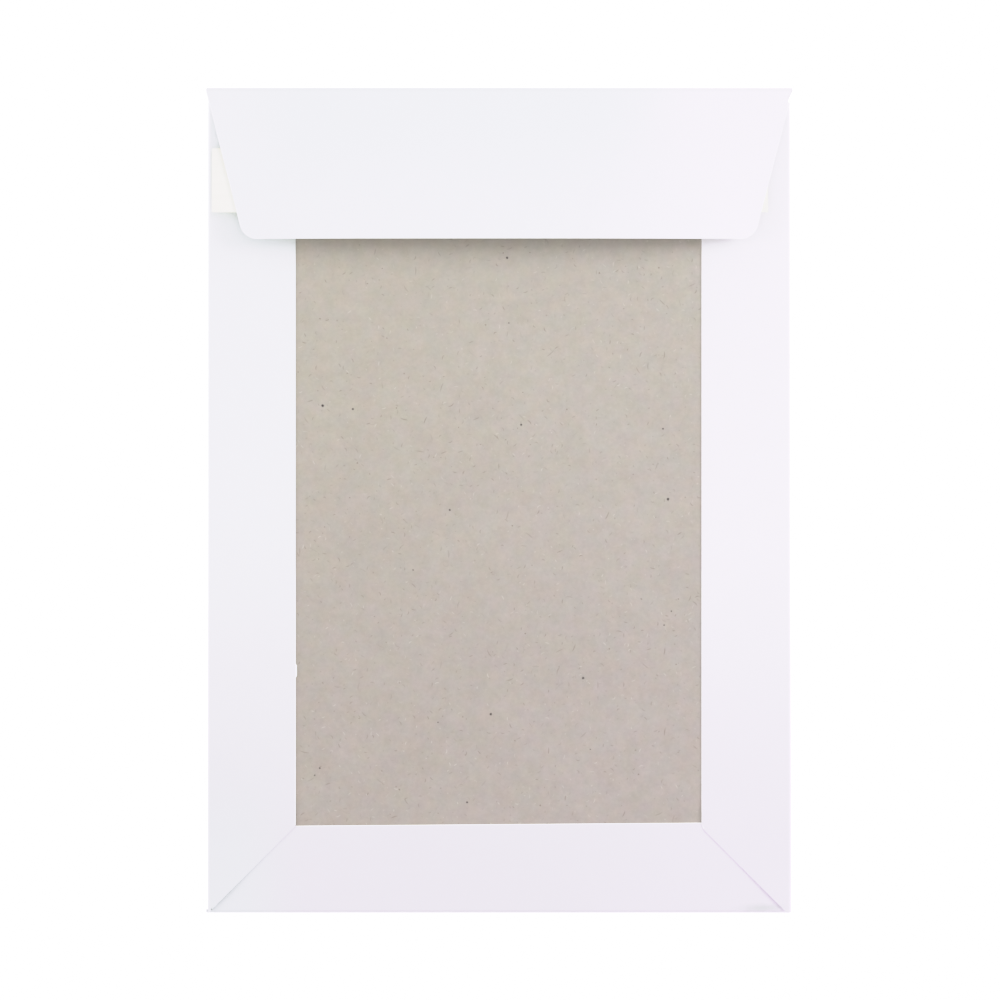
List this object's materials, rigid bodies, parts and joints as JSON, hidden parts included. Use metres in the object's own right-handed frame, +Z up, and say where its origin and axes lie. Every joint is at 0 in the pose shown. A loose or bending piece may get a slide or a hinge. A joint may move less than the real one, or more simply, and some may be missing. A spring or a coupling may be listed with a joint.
{
  "type": "board-backed envelope",
  "caption": "Flat white paper envelope with a stiff grey board back glued inside its mitred seams and an unsealed peel-and-seal closing flap folded over.",
  "frame": {"origin": "middle of the closed envelope's outline, on the surface that its front panel lies on", "axes": "+X to the right and +Y towards the closing flap's fold, seen from above the board side; +Z up, out of the board side"},
  "size_m": [0.1628, 0.229, 0.0081],
  "materials": {
    "white_paper": "smooth uncoated white paper, faintly blue",
    "greyboard": "unlined recycled grey board with flecks and fibres",
    "seam_glue": "dried thin glue film",
    "flap_adhesive": "clear yellowish pressure-sensitive adhesive",
    "release_liner": "silicone-coated off-white release paper with a soft sheen"
  },
  "bodies": {
    "root": {"envelope_sheet": "white_paper", "back_board": "greyboard", "left_seam_glue": "seam_glue", "right_seam_glue": "seam_glue", "bottom_seam_glue": "seam_glue", "flap_adhesive": "flap_adhesive", "release_liner": "release_liner"}
  },
  "joints": []
}
